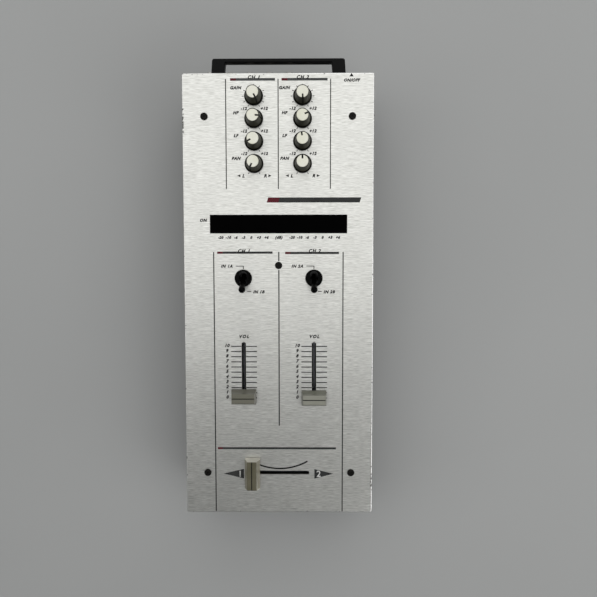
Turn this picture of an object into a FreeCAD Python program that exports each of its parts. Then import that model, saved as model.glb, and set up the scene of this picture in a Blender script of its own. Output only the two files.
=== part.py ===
import FreeCAD, Part
import os
from types import SimpleNamespace

import Sketcher

# A slim two-channel DJ mixer lying on its feet: a brushed faceplate with knobs, a meter window, toggles
# and faders over a folded steel case. X runs to the right, Y to the rear, Z up, with the table at zero.

SIZES = {
    # Faceplate
    "panel_width": 152,
    "panel_depth": 354,
    "panel_top": 70,
    "plate_thick": 2,
    "plate_corner": 1.8,
    "plate_round": 0.8,
    # Case: the folded tray and the plate that carries the controls
    "tray_overhang": 1.2,
    "tray_wall": 1.2,
    "tray_fold": 2,
    "tray_gap": 0.2,
    "sub_thick": 1.2,
    "sub_flange": 14,
    "side_screw_y": 120,
    "fit_gap": 0.1,
    # Feet
    "foot_height": 6,
    "foot_radius": 9,
    "foot_slope": 1,
    "foot_stem": 2.4,
    "foot_barb": 3.3,
    "foot_barb_height": 3,
    "foot_inset": 15,
    # Screws
    "thread_radius": 1.5,
    "thread_gap": 0.1,
    "pass_gap": 0.2,
    "head_radius": 2.7,
    "head_height": 1.1,
    "head_edge": 0.8,
    "screw_length": 5,
    "panel_head_radius": 2.9,
    "panel_head_height": 1.4,
    "panel_socket": 1,
    "panel_screw_x": 58.5,
    "panel_screw_y": 143.4,
    "panel_screw_middle_y": 26,
    # Rotary controls
    "knob_x": 19.2,
    "knob_first_y": 106.5,
    "knob_pitch": 17.5,
    "knob_gap": 0.8,
    "knob_height": 13.2,
    "knob_skirt": 7.4,
    "knob_skirt_edge": 0.8,
    "knob_skirt_height": 2,
    "knob_waist": 6.3,
    "knob_shoulder": 5.05,
    "knob_wall": 1.2,
    "knob_hub": 4,
    "knob_hub_lift": 2,
    "knob_hollow": 7,
    "knob_crown": 1.6,
    "pointer_width": 1.3,
    "pointer_groove": 0.5,
    "pointer_start": 1.8,
    "insert_radius": 4.65,
    "insert_thick": 1.2,
    "insert_dome": 0.3,
    "shaft_radius": 3,
    "shaft_flat": 0.7,
    "running_gap": 0.06,
    "end_gap": 0.3,
    "pot_side": 11,
    "pot_height": 9,
    "pot_floor": 1.5,
    "pot_corner": 1.5,
    "bush_radius": 3.9,
    "bush_recess": 0.3,
    # Pointer angles at rest, clockwise from the rear
    "gain_1_turn": 153,
    "treble_1_turn": 95,
    "bass_1_turn": -118,
    "balance_1_turn": -154,
    "gain_2_turn": 177,
    "treble_2_turn": 68,
    "bass_2_turn": -9,
    "balance_2_turn": 0,
    # Meter
    "window_y": 59,
    "window_width": 109.6,
    "window_depth": 14.9,
    "window_recess": 0.2,
    "window_ledge": 2.2,
    "window_corner": 0.6,
    "led_x": 28.3,
    "led_pitch": 6.05,
    "led_width": 2,
    "led_depth": 5,
    "power_led_x": -50.6,
    # Circuit boards
    "board_thick": 1.6,
    "control_board_width": 132,
    "control_board_depth": 124,
    "control_board_y": 107,
    "main_board_width": 126,
    "main_board_depth": 268,
    "main_board_y": 28,
    "main_screw_inset": 20,
    "board_corner": 3,
    "standoff_height": 6,
    "standoff_radius": 3,
    # Input toggles
    "toggle_x": 28.3,
    "toggle_y": 15.85,
    "toggle_body": 13,
    "toggle_body_height": 17,
    "toggle_boss": 5.7,
    "toggle_well_width": 6.4,
    "toggle_well_length": 9,
    "toggle_well_depth": 9,
    "collar_radius": 6.9,
    "collar_round": 0.6,
    "collar_height": 4,
    "collar_flats": 9.8,
    "collar_step": 1.6,
    "collar_slot": 11.8,
    "pivot_drop": 2,
    "pivot_radius": 1,
    "pivot_length": 9.6,
    "lever_reach": 17,
    "lever_root": 1.7,
    "lever_tip": 2.65,
    "lever_flat": 0.3,
    "lever_tail": 4,
    "lever_tilt": 30,
    # Faders
    "fader_x": 28.4,
    "fader_y": -60.4,
    "cross_y": -143.5,
    "fader_travel": 45,
    "fader_1_rest": 2.7,
    "fader_2_rest": 1.7,
    "cross_rest": 0.7,
    "slot_width": 3,
    "slot_margin": 1,
    "stem_across": 1.2,
    "stem_along": 3.2,
    "stem_gap": 0.5,
    "cap_across": 20,
    "cap_crest_across": 18.2,
    "cross_cap_across": 25.4,
    "cross_cap_crest_across": 23.1,
    "cap_along": 12.2,
    "cap_crest": 7.6,
    "cap_height": 8.8,
    "cap_rim": 1.6,
    "cap_dish": 0.45,
    "cap_gap": 1.2,
    "cap_wall": 1.2,
    "cap_hollow": 4,
    "cap_hollow_along": 7.4,
    "cap_socket": 5,
    "cap_boss": 2,
    "cap_line": 0.6,
    "cap_line_depth": 0.4,
    "cap_round": 0.5,
    "frame_width": 14,
    "frame_height": 12,
    "frame_wall": 1,
    "frame_tab": 8,
    "rod_radius": 1,
    "rod_spread": 8,
    "rod_drop": 6.5,
    "carriage_width": 11.2,
    "carriage_length": 9,
    "carriage_height": 6,
    "carriage_stop": 1,
    # Rear handle
    "handle_width": 107.8,
    "handle_leg": 10.3,
    "handle_taper": 1,
    "handle_reach": 14.85,
    "handle_grip": 2.9,
    "handle_depth": 7.6,
    "handle_drop": 8,
    "handle_corner": 1.8,
    "handle_inner_corner": 0.6,
    "handle_round": 0.6,
    "handle_thread": 8,
    # Rear sockets, in one even row between the insets
    "rear_inset": 18,
    "phono_low_z": 20,
    "phono_pitch_z": 16,
    "phono_radius": 4.15,
    "phono_bore": 3.6,
    "phono_length": 9,
    "phono_flange": 6.2,
    "phono_flange_thick": 1.5,
    "phono_thread": 4.6,
    "phono_inner_length": 7,
    "phono_pin_hole": 1.65,
    "phono_recess": 1.2,
    "phono_pin_floor": 0.5,
    "earth_radius": 4.4,
    "earth_length": 7,
    "earth_stem": 2,
    "earth_washer": 5.2,
    "earth_washer_thick": 1,
    "earth_inner_length": 6,
    "inlet_z": 28,
    "inlet_flange": 6,
    "inlet_flange_thick": 1,
    "inlet_nose": 4.6,
    "inlet_bore": 3.1,
    "inlet_bore_depth": 9.5,
    "inlet_pin": 1.05,
    "inlet_body": 11,
    "inlet_body_depth": 12,
    # Power switch
    "switch_z": 28,
    "switch_bezel_width": 15,
    "switch_bezel_height": 21,
    "switch_bezel_thick": 1.6,
    "switch_width": 12.8,
    "switch_height": 18.6,
    "switch_depth": 16,
    "rocker_width": 10,
    "rocker_radius": 7.6,
    "rocker_gap": 0.3,
    "rocker_pivot": 1,
    "rocker_lip": 2.4,
    "rocker_dip": 1.2,
    "rocker_tilt": 10,
    # Front controls
    "front_z": 30,
    "phones_inset": 24,
    "phones_bore": 3.25,
    "phones_depth": 32,
    "phones_bezel": 8,
    "phones_bezel_thick": 2,
    "phones_bush": 5.6,
    "phones_body": 16,
    "phones_end": 1.5,
    "phones_level_inset": 52,
    "curve_inset": 28,
    "front_knob_skirt": 6.2,
    "front_knob_waist": 5.9,
    "front_knob_tip": 5.4,
    "cue_x": 12,
    "cue_travel": 20,
    "cue_slot": 2.6,
    "cue_stem": 2,
    "cue_body_height": 9,
    "cue_body_depth": 8,
    "cue_track_depth": 5,
    "cue_cap_width": 5,
    "cue_cap_height": 9,
    "cue_cap_length": 7,
    "cue_cap_line": 0.6,
}

doc = FreeCAD.newDocument("dj_mixer")
sheet = doc.addObject("Spreadsheet::Sheet", "Sizes")
for row, (alias, number) in enumerate(SIZES.items(), start=1):
    sheet.set(f"A{row}", alias)
    sheet.set(f"B{row}", str(number))
    sheet.setAlias(f"B{row}", alias)
doc.recompute()


class Size:
    """A length or angle that carries its number and the sheet formula that gives it."""

    def __init__(self, number, formula=None):
        self.number = float(number)
        self.formula = formula or repr(float(number))

    def joined(self, sign, other, number):
        return Size(number, f"({self.formula} {sign} {other.formula})")

    def __add__(self, other):
        other = as_size(other)
        return self.joined("+", other, self.number + other.number)

    def __sub__(self, other):
        other = as_size(other)
        return self.joined("-", other, self.number - other.number)

    def __mul__(self, other):
        other = as_size(other)
        return self.joined("*", other, self.number * other.number)

    def __truediv__(self, other):
        other = as_size(other)
        return self.joined("/", other, self.number / other.number)

    def __neg__(self):
        return self * -1

    def __rsub__(self, other):
        return as_size(other) - self

    __radd__ = __add__
    __rmul__ = __mul__


def as_size(value):
    return value if isinstance(value, Size) else Size(value)


mm = SimpleNamespace(**{alias: Size(number, f"Sizes.{alias}") for alias, number in SIZES.items()})


def bind(thing, path, size):
    thing.setExpression(path, as_size(size).formula)


class Outline:
    """A sketch on one of its body's own planes, with every point tied to the sheet."""

    def __init__(self, body, plane="XY_Plane", offset=0):
        self.sketch = body.newObject("Sketcher::SketchObject", "Outline")
        support = next(face for face in body.Origin.OriginFeatures if face.Role == plane)
        self.sketch.AttachmentSupport = [(support, "")]
        self.sketch.MapMode = "FlatFace"
        bind(self.sketch, "AttachmentOffset.Base.z", offset)

    def tie(self, kind, size, *points):
        index = self.sketch.addConstraint(Sketcher.Constraint(kind, *points, size.number))
        bind(self.sketch, f"Constraints[{index}]", size)

    def pin(self, line, end, x, y):
        for kind, size, axis in (("DistanceX", as_size(x), -2), ("DistanceY", as_size(y), -1)):
            if size.formula == "0.0":
                self.sketch.addConstraint(Sketcher.Constraint("PointOnObject", line, end, axis))
            else:
                self.tie(kind, size, -1, 1, line, end)

    def meet(self, line, end, other, other_end):
        self.sketch.addConstraint(Sketcher.Constraint("Coincident", line, end, other, other_end))

    def polygon(self, *points):
        corners = [FreeCAD.Vector(as_size(x).number, as_size(y).number, 0) for x, y in points]
        lines = []
        for start, end in zip(corners, corners[1:] + corners[:1]):
            lines.append(self.sketch.addGeometry(Part.LineSegment(start, end)))
        for line, following, (x, y) in zip(lines, lines[1:] + lines[:1], points):
            self.meet(line, 2, following, 1)
            self.pin(line, 1, x, y)
        return self

    def rectangle(self, x, y, width, height):
        left, right = x - width / 2, x + width / 2
        low, high = y - height / 2, y + height / 2
        return self.polygon((left, low), (right, low), (right, high), (left, high))

    def circle(self, x, y, radius):
        centre = FreeCAD.Vector(as_size(x).number, as_size(y).number, 0)
        ring = self.sketch.addGeometry(Part.Circle(centre, FreeCAD.Vector(0, 0, 1), radius.number))
        self.pin(ring, 3, x, y)
        self.tie("Radius", radius, ring)
        return self

    def slot(self, x, y, length, width, turned=False):
        """A straight slot with round ends, along X or, when turned, along Y."""
        x, y = as_size(x), as_size(y)
        reach, half = (length - width) / 2, width / 2

        def spot(along, across):
            return (x - across, y + along) if turned else (x + along, y + across)

        def vector(point):
            return FreeCAD.Vector(point[0].number, point[1].number, 0)

        corners = [spot(-reach, -half), spot(reach, -half), spot(reach, half), spot(-reach, half)]
        ends = [spot(reach + half, Size(0)), spot(-reach - half, Size(0))]
        low = self.sketch.addGeometry(Part.LineSegment(vector(corners[0]), vector(corners[1])))
        far = self.sketch.addGeometry(Part.Arc(vector(corners[1]), vector(ends[0]), vector(corners[2])))
        high = self.sketch.addGeometry(Part.LineSegment(vector(corners[2]), vector(corners[3])))
        near = self.sketch.addGeometry(Part.Arc(vector(corners[3]), vector(ends[1]), vector(corners[0])))
        self.meet(low, 2, far, 1)
        self.meet(far, 2, high, 1)
        self.meet(high, 2, near, 1)
        self.meet(near, 2, low, 1)
        for line, end, point in ((low, 1, 0), (low, 2, 1), (high, 1, 2), (high, 2, 3)):
            self.pin(line, end, *corners[point])
        for arc, along in ((far, reach), (near, -reach)):
            centre = spot(along, Size(0))
            if turned:
                self.tie("DistanceY", centre[1], -1, 1, arc, 3)
            else:
                self.tie("DistanceX", centre[0], -1, 1, arc, 3)
        return self


def new_body(name):
    return doc.addObject("PartDesign::Body", name)


def pad(body, outline, length, down=False, both=False):
    feature = body.newObject("PartDesign::Pad", "Pad")
    feature.Profile = outline.sketch
    feature.SideType = "Symmetric" if both else "One side"
    feature.Reversed = down
    bind(feature, "Length", length)
    return feature


def pocket(body, outline, depth=None, up=False, both=False):
    feature = body.newObject("PartDesign::Pocket", "Pocket")
    feature.Profile = outline.sketch
    feature.SideType = "Symmetric" if both else "One side"
    feature.Reversed = up
    if depth is None:
        feature.Type = "ThroughAll"
    else:
        bind(feature, "Length", depth)
    return feature


def revolve(body, *points):
    """Turn a closed profile of radius and height about the body's upright axis."""
    outline = Outline(body, "XZ_Plane").polygon(*points)
    feature = body.newObject("PartDesign::Revolution", "Revolution")
    feature.Profile = outline.sketch
    feature.ReferenceAxis = (outline.sketch, ["V_Axis"])
    feature.Angle = 360
    return feature


def soften(body, chosen, size, kind="PartDesign::Fillet"):
    """Round, or chamfer, the edges of the body so far that the test picks."""
    doc.recompute()
    base = body.Tip
    names = [f"Edge{number}" for number, edge in enumerate(base.Shape.Edges, start=1) if chosen(edge)]
    feature = body.newObject(kind, "Edges")
    feature.Base = (base, names)
    bind(feature, "Size" if kind.endswith("Chamfer") else "Radius", size)
    return feature


def runs_along(edge, axis):
    box = edge.BoundBox
    spans = {"X": box.XLength, "Y": box.YLength, "Z": box.ZLength}
    return spans[axis] > 1e-4 and all(span < 1e-4 for name, span in spans.items() if name != axis)


def lies_at(edge, axis, level):
    box = edge.BoundBox
    lowest, highest = {"X": (box.XMin, box.XMax), "Y": (box.YMin, box.YMax), "Z": (box.ZMin, box.ZMax)}[axis]
    return abs(lowest - level.number) < 1e-4 and abs(highest - level.number) < 1e-4


def place(thing, x, y, z, axis=None, angle=0):
    if axis:
        turn = FreeCAD.Rotation(FreeCAD.Vector(*axis), as_size(angle).number)
        thing.Placement = FreeCAD.Placement(FreeCAD.Vector(), turn)
        if as_size(angle).number:
            bind(thing, "Placement.Rotation.Angle", angle)
    for name, size in (("x", x), ("y", y), ("z", z)):
        bind(thing, f"Placement.Base.{name}", size)


nodes = {}


def node(label, thing):
    thing.Label = label
    nodes[label] = thing
    return thing


def group(label, *copies):
    """One node of separate solids: each copy is a pattern piece and the place it goes."""
    links = []
    for pattern, spot in copies:
        link = doc.addObject("App::Link", "Copy")
        link.LinkedObject = pattern
        place(link, *spot)
        links.append(link)
    compound = doc.addObject("Part::Compound", label)
    compound.Links = links
    return node(label, compound)


RIGHT = (1, 0, 0)
UP = (0, 0, 1)
SIDES = (-1, 1)

# Levels and walls that several pieces share
sub_top = mm.panel_top - mm.plate_thick
sub_under = sub_top - mm.sub_thick
control_board_top = sub_under - mm.pot_height
tray_width = mm.panel_width - mm.tray_overhang * 2
tray_depth = mm.panel_depth - mm.tray_overhang * 2
tray_height = sub_top - mm.tray_gap - mm.foot_height
floor_top = mm.foot_height + mm.tray_wall
inner_width = tray_width - mm.tray_wall * 2
inner_depth = tray_depth - mm.tray_wall * 2
rear_wall = tray_depth / 2
front_wall = -tray_depth / 2
screw_pass = mm.thread_radius + mm.pass_gap
screw_thread = mm.thread_radius + mm.thread_gap

# Places of the controls on the panel
KNOB_ROWS = ("balance", "bass", "treble", "gain")
knob_spots = {}
for channel, side in zip((1, 2), SIDES):
    for step, row_name in enumerate(KNOB_ROWS):
        knob_spots[f"{row_name}_{channel}"] = (mm.knob_x * side, mm.knob_first_y + mm.knob_pitch * step)
toggle_spots = [(mm.toggle_x * side, mm.toggle_y) for side in SIDES]
panel_screw_spots = [(mm.panel_screw_x * side, mm.panel_screw_y * end) for side in SIDES for end in SIDES]
panel_screw_spots.append((Size(0), mm.panel_screw_middle_y))
slot_length = mm.fader_travel + mm.stem_along + mm.stem_gap * 2
frame_length = mm.fader_travel + mm.carriage_length + mm.carriage_stop * 2 + mm.frame_wall * 2
fader_spots = [(mm.fader_x * side, mm.fader_y, True) for side in SIDES] + [(Size(0), mm.cross_y, False)]
tab_screw_reach = (frame_length + mm.frame_tab) / 2
foot_spots = [
    ((tray_width / 2 - mm.foot_inset) * side, (tray_depth / 2 - mm.foot_inset) * end)
    for side in SIDES
    for end in SIDES
]
main_screw_spots = [
    ((mm.main_board_width / 2 - mm.main_screw_inset) * side,
     mm.main_board_y + (mm.main_board_depth / 2 - mm.main_screw_inset) * end)
    for side in SIDES
    for end in SIDES
]
rear_pitch = (mm.panel_width - mm.rear_inset * 2) / 7
rear_places = [mm.rear_inset - mm.panel_width / 2 + rear_pitch * step for step in range(8)]
earth_x, inlet_x, switch_x = rear_places[5:]
phono_spots = [(x, mm.phono_low_z + mm.phono_pitch_z * row) for x in rear_places[:5] for row in range(2)]
earth_spots = [(earth_x, mm.phono_low_z + mm.phono_pitch_z * row) for row in range(2)]
phones_x = mm.phones_inset - mm.panel_width / 2
phones_level_x = mm.phones_level_inset - mm.panel_width / 2
curve_x = mm.panel_width / 2 - mm.curve_inset
handle_screw_x = (mm.handle_width - mm.handle_leg) / 2
handle_low = mm.panel_top - mm.handle_drop - mm.handle_depth
handle_screw_z = handle_low + mm.handle_depth / 2
side_screw_z = sub_top - mm.sub_flange / 2
side_screw_spots = [(mm.side_screw_y * end, side_screw_z) for end in SIDES]
cue_slot_length = mm.cue_travel + mm.cue_stem + mm.cue_slot


def tab_screws():
    """Where the faders' end tabs are screwed to the plate above them."""
    spots = []
    for x, y, turned in fader_spots:
        for end in SIDES:
            step = tab_screw_reach * end
            spots.append((x, y + step) if turned else (x + step, y))
    return spots


# Brushed faceplate: rounded outline, then every hole that a control comes up through
faceplate = new_body("faceplate")
plate_outline = Outline(faceplate).rectangle(Size(0), Size(0), mm.panel_width, mm.panel_depth)
pad(faceplate, plate_outline, mm.plate_thick)
soften(faceplate, lambda edge: runs_along(edge, "Z"), mm.plate_corner)
soften(faceplate, lambda edge: lies_at(edge, "Z", mm.plate_thick), mm.plate_round)
openings = Outline(faceplate, offset=mm.plate_thick)
openings.rectangle(Size(0), mm.window_y, mm.window_width, mm.window_depth)
for x, y in knob_spots.values():
    openings.circle(x, y, mm.bush_radius + mm.pass_gap)
for x, y in toggle_spots:
    openings.circle(x, y, mm.toggle_boss + mm.pass_gap)
for x, y in panel_screw_spots:
    openings.circle(x, y, screw_pass)
for x, y, turned in fader_spots:
    openings.slot(x, y, slot_length, mm.slot_width, turned)
pocket(faceplate, openings)
place(faceplate, 0, 0, sub_top)
node("faceplate", faceplate)

# Control plate: a folded channel under the faceplate that carries the controls
sub_panel = new_body("sub_panel")
sub_width = inner_width - mm.fit_gap * 2
inside = sub_width / 2 - mm.sub_thick
fold = Outline(sub_panel, "XZ_Plane")
fold.polygon(
    (-sub_width / 2, Size(0)), (sub_width / 2, Size(0)),
    (sub_width / 2, -mm.sub_flange), (inside, -mm.sub_flange),
    (inside, -mm.sub_thick), (-inside, -mm.sub_thick),
    (-inside, -mm.sub_flange), (-sub_width / 2, -mm.sub_flange),
)
pad(sub_panel, fold, inner_depth - mm.fit_gap * 2, both=True)
cuts = Outline(sub_panel)
cuts.rectangle(
    Size(0), mm.window_y, mm.window_width - mm.window_ledge * 2, mm.window_depth - mm.window_ledge * 2
)
for x, y in knob_spots.values():
    cuts.circle(x, y, mm.bush_radius + mm.pass_gap)
for x, y in toggle_spots:
    cuts.circle(x, y, mm.toggle_boss + mm.pass_gap)
for x, y in panel_screw_spots + tab_screws():
    cuts.circle(x, y, screw_thread)
for x, y, turned in fader_spots:
    cuts.slot(x, y, slot_length + mm.slot_margin * 2, mm.slot_width + mm.slot_margin * 2, turned)
pocket(sub_panel, cuts, mm.sub_thick)
threads = Outline(sub_panel, "YZ_Plane")
for y, z in side_screw_spots:
    threads.circle(y, z - sub_top, screw_thread)
pocket(sub_panel, threads, both=True)
place(sub_panel, 0, 0, sub_top)
node("sub_panel", sub_panel)

# Tray: floor and four walls, with bosses for the main board and the holes of both end walls
tray = new_body("bottom_tray")
pad(tray, Outline(tray).rectangle(Size(0), Size(0), tray_width, tray_depth), tray_height)
soften(tray, lambda edge: runs_along(edge, "Z"), mm.tray_fold)
soften(tray, lambda edge: lies_at(edge, "Z", Size(0)), mm.tray_fold / 2)
hollow = Outline(tray, offset=tray_height).rectangle(Size(0), Size(0), inner_width, inner_depth)
pocket(tray, hollow, tray_height - mm.tray_wall)
bosses = Outline(tray, offset=mm.tray_wall)
boss_threads = Outline(tray, offset=mm.tray_wall + mm.standoff_height)
for x, y in main_screw_spots:
    bosses.circle(x, y, mm.standoff_radius)
    boss_threads.circle(x, y, screw_thread)
pad(tray, bosses, mm.standoff_height)
pocket(tray, boss_threads, mm.standoff_height)
foot_holes = Outline(tray, offset=mm.tray_wall)
for x, y in foot_spots:
    foot_holes.circle(x, y, mm.foot_stem + mm.pass_gap)
pocket(tray, foot_holes, mm.tray_wall)
side_holes = Outline(tray, "YZ_Plane", tray_width / 2)
for y, z in side_screw_spots:
    side_holes.circle(y, z - mm.foot_height, screw_pass)
pocket(tray, side_holes)
front_holes = Outline(tray, "XZ_Plane", -front_wall)
front_level = mm.front_z - mm.foot_height
front_holes.circle(phones_x, front_level, mm.phones_bush + mm.pass_gap)
for x in (phones_level_x, curve_x):
    front_holes.circle(x, front_level, mm.bush_radius + mm.pass_gap)
front_holes.slot(mm.cue_x, front_level, cue_slot_length, mm.cue_slot)
pocket(tray, front_holes, mm.tray_wall)
rear_holes = Outline(tray, "XZ_Plane", mm.tray_wall - rear_wall)
for x, z in phono_spots:
    rear_holes.circle(x, z - mm.foot_height, mm.phono_thread + mm.pass_gap)
for x, z in earth_spots:
    rear_holes.circle(x, z - mm.foot_height, mm.earth_stem + mm.pass_gap)
for side in SIDES:
    rear_holes.circle(handle_screw_x * side, handle_screw_z - mm.foot_height, screw_pass)
rear_holes.circle(inlet_x, mm.inlet_z - mm.foot_height, mm.inlet_nose + mm.pass_gap)
rear_holes.rectangle(
    switch_x, mm.switch_z - mm.foot_height,
    mm.switch_width + mm.pass_gap * 2, mm.switch_height + mm.pass_gap * 2,
)
pocket(tray, rear_holes, mm.tray_wall)
place(tray, 0, 0, mm.foot_height)
node("bottom_tray", tray)

# Rubber feet: a tapered pad with a barbed stem pushed through the tray's floor
foot = new_body("foot_pattern")
stem_top = mm.foot_height + mm.tray_wall + mm.fit_gap
revolve(
    foot,
    (Size(0), Size(0)), (mm.foot_radius - mm.foot_slope, Size(0)), (mm.foot_radius, mm.foot_height),
    (mm.foot_stem, mm.foot_height), (mm.foot_stem, stem_top), (mm.foot_barb, stem_top),
    (mm.foot_stem / 2, stem_top + mm.foot_barb_height), (Size(0), stem_top + mm.foot_barb_height),
)
group("rubber_feet", *[(foot, (x, y, 0)) for x, y in foot_spots])


def screw_pattern(name, head_radius, head_height, length):
    """A screw with its head's seat at zero, its head above and its shank below."""
    body = new_body(name)
    revolve(
        body,
        (Size(0), -length), (mm.thread_radius, -length), (mm.thread_radius, Size(0)),
        (head_radius, Size(0)), (head_radius, head_height / 2), (head_radius - mm.head_edge, head_height),
        (Size(0), head_height),
    )
    return body


# Case screws: sides, handle, main board, and short ones for the faders' tabs
case_screw = screw_pattern("case_screw", mm.head_radius, mm.head_height, mm.screw_length)
tab_length = mm.frame_wall + mm.sub_thick
tab_screw = screw_pattern("tab_screw", mm.head_radius, mm.head_height, tab_length - mm.fit_gap)
main_board_top = floor_top + mm.standoff_height + mm.board_thick
screws = []
for side, turn in zip(SIDES, (-90, 90)):
    for y, z in side_screw_spots:
        screws.append((case_screw, (tray_width / 2 * side, y, z, (0, 1, 0), turn)))
    screws.append((case_screw, (handle_screw_x * side, rear_wall - mm.tray_wall, handle_screw_z, RIGHT, 90)))
for x, y in main_screw_spots:
    screws.append((case_screw, (x, y, main_board_top)))
for x, y in tab_screws():
    screws.append((tab_screw, (x, y, sub_under - mm.frame_wall, RIGHT, 180)))
group("case_screws", *screws)

# Black faceplate screws with a socket in the head
panel_screw = screw_pattern("panel_screw", mm.panel_head_radius, mm.panel_head_height, mm.screw_length)
socket = Outline(panel_screw, offset=mm.panel_head_height).circle(0, 0, mm.panel_socket)
pocket(panel_screw, socket, mm.panel_head_height / 2)
group("faceplate_screws", *[(panel_screw, (x, y, mm.panel_top)) for x, y in panel_screw_spots])

# Meter: a smoked window on the control plate's ledge, with lamps standing on the board below it
window = new_body("meter_window")
window_outline = Outline(window).rectangle(
    Size(0), Size(0), mm.window_width - mm.fit_gap * 2, mm.window_depth - mm.fit_gap * 2
)
pad(window, window_outline, mm.plate_thick - mm.window_recess)
soften(window, lambda edge: runs_along(edge, "Z"), mm.window_corner)
place(window, 0, mm.window_y, sub_top)
node("meter_window", window)

lamp = new_body("lamp_pattern")
lamp_height = mm.pot_height + mm.sub_thick - mm.end_gap
pad(lamp, Outline(lamp).rectangle(Size(0), Size(0), mm.led_width, mm.led_depth), lamp_height)
lamp_spots = [mm.led_x * side + mm.led_pitch * step for side in SIDES for step in range(-3, 4)]
lamp_spots.append(mm.power_led_x)
group("meter_lamps", *[(lamp, (x, mm.window_y, control_board_top)) for x in lamp_spots])


def circuit_board(label, width, depth, y, top, holes=()):
    body = new_body(label)
    pad(body, Outline(body).rectangle(Size(0), Size(0), width, depth), mm.board_thick)
    soften(body, lambda edge: runs_along(edge, "Z"), mm.board_corner, "PartDesign::Chamfer")
    if holes:
        drilled = Outline(body, offset=mm.board_thick)
        for hole_x, hole_y in holes:
            drilled.circle(hole_x, hole_y - y, screw_pass)
        pocket(body, drilled)
    place(body, 0, y, top - mm.board_thick)
    return node(label, body)


circuit_board(
    "control_board", mm.control_board_width, mm.control_board_depth, mm.control_board_y, control_board_top
)
circuit_board(
    "main_board", mm.main_board_width, mm.main_board_depth, mm.main_board_y, main_board_top, main_screw_spots
)

# Potentiometers: a square body whose threaded bush comes up through the panel
pot = new_body("pot_pattern")
pad(pot, Outline(pot).rectangle(Size(0), Size(0), mm.pot_side, mm.pot_side), mm.pot_height)
soften(pot, lambda edge: runs_along(edge, "Z"), mm.pot_corner, "PartDesign::Chamfer")
bush_length = mm.sub_thick + mm.plate_thick - mm.bush_recess
pad(pot, Outline(pot, offset=mm.pot_height).circle(0, 0, mm.bush_radius), bush_length)
bore_mouth = mm.pot_height + bush_length
bore = Outline(pot, offset=bore_mouth).circle(0, 0, mm.shaft_radius + mm.running_gap)
pocket(pot, bore, bore_mouth - mm.pot_floor)
front_pot_y = front_wall + mm.tray_wall + mm.pot_height
pots = [(pot, (x, y, control_board_top)) for x, y in knob_spots.values()]
for x in (phones_level_x, curve_x):
    pots.append((pot, (x, front_pot_y, mm.front_z, RIGHT, 90)))
group("pot_bodies", *pots)


knob_bore = mm.knob_height - mm.insert_thick - mm.knob_crown
bore_radius = mm.shaft_radius + mm.running_gap


def knob(label, skirt, waist, shoulder, inset):
    """A hollow moulded knob on a flared skirt, with a hub for its shaft, a pointer's groove down its
    rear and, when inset, a seat for its top disc with the pointer's rib standing in it.
    """
    body = new_body(label)
    seat = mm.knob_height - mm.insert_thick
    crown = [(Size(0), mm.knob_height)]
    if inset:
        rim = mm.insert_radius + mm.fit_gap
        crown = [(rim, mm.knob_height), (rim, seat), (Size(0), seat)]
    revolve(
        body,
        (bore_radius, mm.knob_hub_lift), (mm.knob_hub, mm.knob_hub_lift), (mm.knob_hub, mm.knob_hollow),
        (shoulder - mm.knob_wall / 2, mm.knob_hollow), (waist - mm.knob_wall, Size(0)), (skirt, Size(0)),
        (skirt, mm.knob_skirt_edge), (waist, mm.knob_skirt_height), (shoulder, mm.knob_height), *crown,
        (Size(0), knob_bore), (bore_radius, knob_bore),
    )
    groove_foot, groove_top = waist - mm.pointer_groove, shoulder - mm.pointer_groove
    groove = Outline(body, "YZ_Plane")
    groove.polygon(
        (groove_foot, mm.knob_skirt_height), (skirt + mm.pointer_groove, mm.knob_skirt_height),
        (skirt + mm.pointer_groove, mm.knob_height), (groove_top, mm.knob_height),
    )
    pocket(body, groove, mm.pointer_width, both=True)
    key = Outline(body, offset=mm.knob_hub_lift)
    flat = mm.shaft_radius - mm.shaft_flat + mm.running_gap
    key.polygon(
        (-mm.shaft_radius / 2, flat), (mm.shaft_radius / 2, flat),
        (mm.shaft_radius / 2, bore_radius), (-mm.shaft_radius / 2, bore_radius),
    )
    pad(body, key, knob_bore - mm.knob_hub_lift)
    if inset:
        start = mm.pointer_start + mm.fit_gap
        flank_height = mm.knob_height - mm.knob_skirt_height
        rib_foot = groove_top + (waist - shoulder) * mm.insert_thick / flank_height
        rib = Outline(body, "YZ_Plane")
        rib.polygon((start, seat), (rib_foot, seat), (groove_top, mm.knob_height), (start, mm.knob_height))
        pad(body, rib, mm.pointer_width - mm.fit_gap * 2, both=True)
    return body


def knob_insert(label):
    """The pale disc in a knob's top, slotted for the pointer."""
    body = new_body(label)
    edge_height = mm.insert_thick - mm.insert_dome
    revolve(
        body,
        (Size(0), Size(0)), (mm.insert_radius, Size(0)), (mm.insert_radius, edge_height),
        (mm.insert_radius - mm.insert_dome, mm.insert_thick), (Size(0), mm.insert_thick),
    )
    half = mm.pointer_width / 2
    gap = Outline(body, offset=mm.insert_thick)
    gap.polygon(
        (-half, mm.pointer_start), (half, mm.pointer_start),
        (half, mm.insert_radius * 2), (-half, mm.insert_radius * 2),
    )
    pocket(body, gap)
    return body


def knob_shaft(label, panel_stack):
    """A pot's shaft, from just above the pot's floor to just under the top of the knob's bore."""
    body = new_body(label)
    length = mm.pot_height - mm.pot_floor + panel_stack + mm.knob_gap + knob_bore - mm.end_gap * 2
    pad(body, Outline(body).circle(0, 0, mm.shaft_radius), length)
    flat_length = knob_bore - mm.knob_hub_lift
    flat = Outline(body, offset=length)
    flat.rectangle(
        Size(0), mm.shaft_radius * 2 - mm.shaft_flat, mm.shaft_radius * 2, mm.shaft_radius * 2
    )
    pocket(body, flat, flat_length)
    return body


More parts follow.
